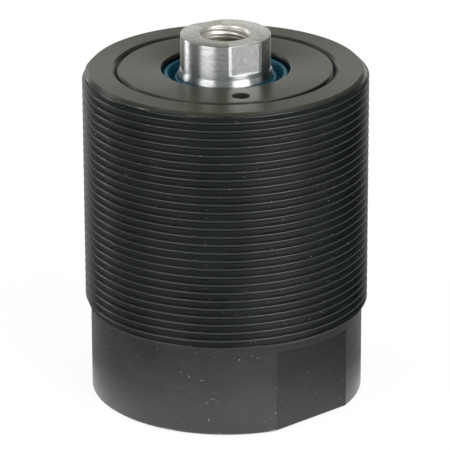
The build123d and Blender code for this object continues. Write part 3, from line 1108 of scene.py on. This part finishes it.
@dataclass
class GlandNut:
    """The blackened gland, flush with the body's top, with two holes for a pin spanner."""

    top_chamfer: float = 0.54
    seam_share: float = 0.45
    seam_margin: float = 0.1
    end_chamfer: float = 0.7
    thread_length: float = 10.7
    thread_clearance: float = 0.03
    ridge_flat: float = 0.125
    mouth: float = 12.15
    mouth_depth: float = 1.0
    mouth_break: float = 0.2
    groove_break: float = 0.05
    rod_bore: float = 9.3
    ring_clearance: float = 0.03
    lower_lead: float = 0.5
    o_ring_seat: float = 17.2
    o_ring_clearance: float = 0.05
    spanner_radius: float = 1.6
    spanner_break: float = 0.12
    spanner_depth: float = 5.0
    spanner_offset: float = 16.5
    spanner_angle: float = radians(-80.3)

    def spanner_cutter(self, top: float, turn: float) -> bpy.types.Object:
        """Makes the shape of one spanner hole.

        Args:
            top: Level of the gland's top.
            turn: The hole's angle about the axis.

        Returns:
            The cutter.
        """
        wide = self.spanner_radius + self.spanner_break
        cutter = TurnedSolid(columns=48)
        cutter.outline([
            (0, top - self.spanner_depth), (self.spanner_radius, top - self.spanner_depth),
            (self.spanner_radius, top - self.spanner_break), (wide, top), (wide, top + OVERRUN),
            (0, top + OVERRUN),
        ])
        centre = (self.spanner_offset * cos(turn), self.spanner_offset * sin(turn))
        return cutter.build("spanner_cutter", centre)

    def build(self) -> None:
        """Makes the gland, with a groove for each ring inside it, and dresses it."""
        outer, bottom, top = extent("gland_nut")
        step = top - self.thread_length
        crest = outer - self.thread_clearance
        gap = self.ring_clearance
        wiper_out, wiper_low, _ = extent("rod_wiper")
        solid = TurnedSolid(columns=240)
        solid.outline([
            (crest - self.top_chamfer, top), (self.mouth + self.mouth_break, top),
            (self.mouth, top - self.mouth_break), (self.mouth, top - self.mouth_depth),
            (wiper_out + gap, top - self.mouth_depth), (wiper_out + gap, wiper_low - gap),
            (self.rod_bore, wiper_low - gap),
        ], self.groove_break)
        for ring in ("upper_rod_guide", "rod_seal", "lower_rod_guide"):
            ring_out, low, high = extent(ring)
            solid.outline([
                (self.rod_bore, high + gap), (ring_out + gap, high + gap),
                (ring_out + gap, low - gap), (self.rod_bore, low - gap),
            ])
        body_bore, _, backup_high = extent("gland_backup_ring")
        groove_low = extent("gland_o_ring")[1] - self.o_ring_clearance
        groove_high = backup_high + self.o_ring_clearance
        solid.outline([
            (self.rod_bore, bottom), (body_bore - self.lower_lead, bottom),
            (body_bore, bottom + self.lower_lead), (body_bore, groove_low),
            (self.o_ring_seat, groove_low), (self.o_ring_seat, groove_high),
            (body_bore, groove_high), (body_bore, step),
        ])
        blank = [
            (crest - self.end_chamfer, step), (crest, step + self.end_chamfer),
            (crest, top - self.top_chamfer), (crest - self.top_chamfer, top),
        ]
        form = ThreadForm.outside(crest, BODY_PITCH, self.ridge_flat, BODY_RIDGE)
        solid.thread(form, blank, Side.OUTSIDE)
        gland = solid.build("gland_nut_threaded")
        turns = (self.spanner_angle, self.spanner_angle + pi)
        cut(gland, [self.spanner_cutter(top, turn) for turn in turns])
        turned = BlackOxideSteel(
            "turned_black_oxide_gland_steel",
            edges=((self.mouth + self.mouth_break, top),),
            top=top,
            # The painted shade falls on the gland's outer rim, in the gap beside the body's mouth
            seam=(crest - self.seam_share * self.top_chamfer, crest + self.seam_margin),
            # The mouth edge is worn brown, with painted glints
            worn="7a6350",
        )
        finish_piece(gland, turned, "cylinder", "black_oxide_steel", "gland_nut")


@dataclass
class RodWiper:
    """The blue wiper: a fat outer lip in the gland's mouth, and a thin one on the rod."""

    lip_radius: float = 11.66
    lip_drop: float = 0.9
    lip_thickness: float = 0.75
    lip_taper: float = 1.6
    lip_flare: float = 0.25
    flare_drop: float = 1.6
    shoulder_drop: float = 1.75
    inner_lip_thickness: float = 0.5
    inner_lip_drop: float = 1.6
    inner_lip_taper: float = 1.9
    groove_depth: float = 2.1
    rod_clearance: float = 0.03
    edge_round: float = 0.3

    def build(self) -> None:
        """Makes the wiper and dresses it."""
        heel, bottom, _ = extent("rod_wiper")
        top = extent("gland_nut")[2]
        rod = extent("plunger_rod")[0] + self.rod_clearance
        lip_top = top - self.lip_drop
        inner_top = top - self.inner_lip_drop
        floor_level = lip_top - self.groove_depth
        inner_back = rod + self.inner_lip_thickness
        solid = TurnedSolid(columns=192)
        solid.outline([
            (inner_back, bottom), (heel, bottom), (heel, top - self.shoulder_drop),
            (self.lip_radius + self.lip_flare, top - self.flare_drop), (self.lip_radius, lip_top),
            (self.lip_radius - self.lip_thickness, lip_top),
            (self.lip_radius - self.lip_taper * self.lip_thickness, floor_level),
            (rod + self.inner_lip_taper * self.inner_lip_thickness, floor_level),
            (inner_back, inner_top), (rod, inner_top), (rod, floor_level), (inner_back, bottom),
        ], self.edge_round, steps=6)
        wiper = solid.build("blue_rod_wiper")
        finish_piece(wiper, BLUE_POLYURETHANE, "cylinder", "blue_polyurethane", "rod_wiper")


@dataclass
class PlungerRod:
    """The bright rod: tapped and flatted end above the body, full rod and spigot below."""

    end_radius: float = 8.5
    end_length: float = 6.6
    flats: Flats = Flats(7.88, radians(-62), 0.06)
    ledge: float = 0.85
    lead_depth: float = 0.38
    lead_length: float = 1.15
    lead_round: float = 0.3
    lead_edge: Point = (0.12, 0.1)
    undercut: float = 0.12
    undercut_height: float = 0.18
    undercut_round: float = 0.05
    top_break: float = 0.14
    top_break_step: float = 0.3
    tap_major: float = 4.7625
    tap_minor: float = 3.97
    tap_pitch: float = 25.4 / 16
    tap_flat: float = 0.14
    tap_rounds: Point = (0.2, 0.24)
    tap_ridge_at: float = 1.48
    tap_depth: float = 17.0
    countersink: float = 0.85
    countersink_depth: float = 1.4
    countersink_edge: Point = (0.1, 0.12)
    hole_depth: float = 20.0
    # How far down the hole the painted shade begins, and where it is full
    oil_drop: Point = (2.0, 2.7)
    spigot: float = 6.0
    spigot_pitch: float = 1.25
    spigot_flat: float = 0.125
    spigot_ridge_at: float = 0.3
    spigot_chamfer: float = 0.8
    spigot_relief: float = 0.2
    piston_edge: float = 0.1
    rod_rows: Point = (2.0, 0.5)
    face_cosine: float = 0.9

    def build(self) -> None:
        """Makes the rod and dresses it."""
        radius, bottom, top = extent("plunger_rod")
        shoulder = top - self.end_length
        lead_start = shoulder - self.lead_length
        piston_top = extent("piston")[2]
        nut_top = extent("piston_nut")[2]
        level = shoulder + self.ledge
        above_piston, below_lead = self.rod_rows
        solid = TurnedSolid(columns=256, extra_turns=self.flats.corners(self.end_radius))
        solid.ring(0, bottom)
        spigot_form = ThreadForm.outside(
            self.spigot, self.spigot_pitch, self.spigot_flat, self.spigot_ridge_at
        )
        spigot_blank = [
            (self.spigot - self.spigot_chamfer, bottom),
            (self.spigot, bottom + self.spigot_chamfer), (self.spigot, nut_top),
        ]
        solid.thread(spigot_form, spigot_blank, Side.OUTSIDE)
        solid.outline([
            (self.spigot, nut_top + self.spigot_relief), (self.spigot, piston_top),
            (radius, piston_top), (radius, piston_top + above_piston),
        ], self.piston_edge)
        lead = radius - self.lead_depth
        neck = self.end_radius - self.undercut
        edge_in, edge_down = self.lead_edge
        solid.outline([
            (radius, lead_start - below_lead), (radius, lead_start), (lead, shoulder - edge_down),
            (lead - edge_in, shoulder), (neck, shoulder),
        ], self.lead_round, steps=5)
        neck_top = shoulder + self.undercut_height
        solid.outline([
            (neck, shoulder), (neck, neck_top), (self.end_radius, neck_top + self.undercut),
            (self.end_radius, level),
        ], self.undercut_round)
        inner_flats = self.flats.inset(self.top_break)
        step = self.top_break_step * self.top_break
        solid.ring(self.end_radius, level, self.flats)
        solid.ring(self.end_radius, top - self.top_break, self.flats)
        solid.ring(self.end_radius - step, top - step, inner_flats)
        solid.ring(self.end_radius - self.top_break, top, inner_flats)
        tap = ThreadForm(
            self.tap_major, self.tap_minor, self.tap_pitch, self.tap_flat, self.tap_ridge_at,
            *self.tap_rounds,
        )
        mouth = self.tap_minor + self.countersink
        edge_in, edge_down = self.countersink_edge
        hole = [
            (self.tap_minor, top - self.tap_depth),
            (self.tap_minor, top - self.countersink_depth), (mouth - edge_in, top - edge_down),
            (mouth, top),
        ]
        solid.thread(tap, hole, Side.INSIDE, rising=False)
        solid.ring(self.tap_minor, top - self.hole_depth)
        solid.ring(0, top - self.hole_depth - self.tap_minor / tan(DRILL_POINT))
        rod = solid.build("plunger_rod_bright")
        finish_piece(rod, TURNED_ROD, "plunger", "chromed_steel", "plunger_rod")
        oily = tuple(top - drop for drop in self.oil_drop)
        dress_faces(rod, GROUND_ROD, lambda face: piston_top < face.center.z / MM < lead_start)
        dress_faces(rod, MILLED_ROD_FLAT, self.flats.holds)
        dress_faces(
            rod,
            FACED_ROD_END,
            lambda face: face.normal.z > self.face_cosine and face.center.z > level * MM,
        )
        dress_faces(
            rod,
            replace(TAPPED_HOLE, oily=oily),
            lambda face: face.center.xy.length < mouth * MM and face.center.z > piston_top * MM,
        )


@dataclass
class HiddenPieces:
    """The seals, guide rings, piston and nut that keep the model's own shapes and get finishes."""

    finishes: tuple[tuple[Finish, tuple[str, ...]], ...] = (
        (SEAL_POLYURETHANE, ("rod_seal",)),
        (
            NITRILE_RUBBER,
            ("rod_seal_energiser", "gland_o_ring", "piston_static_ring", "piston_seal_energiser"),
        ),
        (
            GUIDE_RESIN,
            ("upper_rod_guide", "lower_rod_guide", "upper_piston_guide", "lower_piston_guide"),
        ),
        (WHITE_PTFE, ("gland_backup_ring", "piston_seal")),
        (TURNED_STEEL, ("piston", "piston_nut")),
    )

    def dress(self) -> None:
        """Gives each node its finish."""
        for finish, nodes in self.finishes:
            material = finish.material()
            for node in nodes:
                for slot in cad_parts[node].material_slots:
                    slot.material = material
                log.info("%s: %s", node, finish.name)


# Studio


@dataclass(frozen=True)
class SoftBox:
    """A soft lamp that looks at the object: angles in degrees, sizes in metres, power in watts."""

    name: str
    azimuth: float
    elevation: float
    distance: float
    width: float
    height: float
    power: float

    def place(self, target: Vector) -> None:
        """Hangs the lamp.

        Args:
            target: The point that it looks at.
        """
        data = bpy.data.lights.new(self.name, "AREA")
        data.shape = "RECTANGLE"
        data.size = self.width
        data.size_y = self.height
        data.energy = self.power
        lamp = add_object(self.name, data)
        turn, rise = radians(self.azimuth), radians(self.elevation)
        away = Vector((sin(turn) * cos(rise), -cos(turn) * cos(rise), sin(rise)))
        lamp.location = target + away * self.distance
        lamp.rotation_euler = away.to_track_quat("Z", "Y").to_euler()


@dataclass
class Studio:
    """The white table, the pale surroundings, the lamps and the camera.

    Places are in metres, apart from the floor's level. Curtains and the bounds of the dark overhead
    are in degrees, the camera's own angles in radians, and its lens and sensor in millimetres.
    """

    boxes: tuple[SoftBox, ...] = (
        SoftBox("broad_left_box", -49, 32, 0.7, 0.4, 0.4, 1.9),
        SoftBox("narrow_left_box", -113, 14, 0.7, 0.18, 0.4, 1.0),
        SoftBox("right_box", 41, 32, 0.7, 0.44, 0.4, 3.7),
    )
    white: str = "ffffff"
    level: float = 0.9
    overhead: Point = (12.0, 40.0)
    ceiling: str = "1c1c1c"
    curtains: tuple[tuple[float, float, str], ...] = (
        (92.0, 158.0, "121212"),
        (-150.0, -62.0, "8c8c8c"),
    )
    curtain_edge: float = 8.0
    paper: str = "f2f2f0"
    table_half: float = 6.0
    table_glow: float = 0.88
    # The painted pool of light that reflections see on the table: its reach, strength and centre
    table_pool: Point = (0.024, 0.046)
    pool_light: Point = (1.6, 0.25)
    pool_centre: Place = (0.0, -0.022, 0.0)
    floor_level: float = -0.3
    camera_place: Place = (0.0, -0.67483, 0.29513)
    camera_dip: float = 0.37153
    camera_turn: float = -0.00032
    camera_roll: float = -0.00343
    focal_length: float = 303.91
    sensor: float = 36.0

    def floor(self) -> None:
        """Lays the white table, which keeps the shadow and glows a painted pool of light in
        reflections.
        """
        mesh = bpy.data.meshes.new("table")
        half, level = self.table_half, self.floor_level * MM
        corners = [(-half, -half), (half, -half), (half, half), (-half, half)]
        mesh.from_pydata([(x, y, level) for x, y in corners], [], [(0, 1, 2, 3)])
        table = add_object("table", mesh)
        material = bpy.data.materials.new("white_table")
        add = empty_tree(material)
        camera_ray, seen = self.seen_rays(add)
        share = add("Math", (seen, self.table_glow), operation="MULTIPLY")[0]
        place = add("TexCoord")["Object"]
        # Painted light: reflections see the table glow brighter near the object
        away = add("VectorMath", (place, self.pool_centre), operation="DISTANCE")["Value"]
        pool = add("MapRange", (away, *self.table_pool, *self.pool_light))[0]
        strength = add("Mix", {0: camera_ray, 2: pool, 3: 1.0}, data_type="FLOAT")[0]
        paper = add("BsdfDiffuse", {"Color": srgb(self.paper)})[0]
        glow = add("Emission", {"Strength": strength})[0]
        surface = add("MixShader", (share, paper, glow))[0]
        add("OutputMaterial", (surface,))
        mesh.materials.append(material)

    def seen_rays(self, add: AddNode) -> tuple[Socket, Socket]:
        """Finds the rays that show the background: those of the camera, and mirrored or bent ones.

        Args:
            add: Adds a node to the tree.

        Returns:
            The camera's rays alone, and all three kinds together.
        """
        rays = add("LightPath")
        seen = camera_ray = rays["Is Camera Ray"]
        for kind in ("Is Glossy Ray", "Is Transmission Ray"):
            seen = add("Math", (seen, rays[kind]), operation="MAXIMUM")[0]
        return camera_ray, seen

    def surroundings(self) -> None:
        """Makes the surroundings: white at the horizon, dark overhead, with two darker curtains."""
        world = bpy.data.worlds.new("studio")
        bpy.context.scene.world = world
        add = empty_tree(world)
        camera_ray, seen = self.seen_rays(add)
        east, north, up = add("SeparateXYZ", (add("TexCoord")["Generated"],))
        overhead = add("MapRange", (up, *(sin(radians(angle)) for angle in self.overhead)))[0]
        colour = layer_colours(add, self.white, [(overhead, self.ceiling)])
        front = add("Math", (north, -1.0), operation="MULTIPLY")[0]
        azimuth = add("Math", (east, front), operation="ARCTAN2")[0]
        for first, last, cloth in self.curtains:
            start, end, soft = (radians(angle) for angle in (first, last, self.curtain_edge))
            opened = add("MapRange", (azimuth, start, start + soft))[0]
            closed = add("MapRange", (azimuth, end, end - soft))[0]
            curtain = add("Math", (opened, closed), operation="MULTIPLY")[0]
            inputs = {0: curtain, 6: colour, 7: srgb(cloth)}
            colour = add("Mix", inputs, data_type="RGBA", blend_type="MULTIPLY")[2]
        mirrored = add("Math", (seen, camera_ray), operation="SUBTRACT")[0]
        even = add("Mix", {0: mirrored, 6: srgb(self.white), 7: colour}, data_type="RGBA")[2]
        strength = add("MapRange", (seen, 0.0, 1.0, self.level, 1.0))[0]
        glow = add("Background", {"Color": even, "Strength": strength})[0]
        add("OutputWorld", (glow,))

    def camera(self) -> None:
        """Sets the camera at the photograph's place and angle."""
        data = bpy.data.cameras.new("camera")
        data.sensor_width = self.sensor
        data.lens = self.focal_length
        camera = add_object("camera", data)
        dip, turn, roll = self.camera_dip, self.camera_turn, self.camera_roll
        forward = Vector((sin(turn) * cos(dip), cos(turn) * cos(dip), -sin(dip)))
        right = Vector((cos(turn), -sin(turn), 0.0))
        up = right.cross(forward)
        right_rolled = cos(roll) * right + sin(roll) * up
        up_rolled = -sin(roll) * right + cos(roll) * up
        axes = Matrix((right_rolled, up_rolled, -forward)).transposed()
        camera.matrix_world = Matrix.Translation(self.camera_place) @ axes.to_4x4()
        bpy.context.scene.camera = camera

    def build(self) -> None:
        """Sets the whole studio."""
        bpy.context.scene.view_settings.view_transform = "Standard"
        low, high = cad_bounds
        target = (Vector(low) + Vector(high)) / 2
        self.floor()
        self.surroundings()
        for box in self.boxes:
            box.place(target)
        self.camera()
        log.info("studio: %d lamps", len(self.boxes))


def main() -> None:
    """Builds the pieces in order, then the studio."""
    ThreadedBody().build()
    GlandNut().build()
    RodWiper().build()
    PlungerRod().build()
    HiddenPieces().dress()
    Studio().build()


if __name__ == "__main__":
    main()
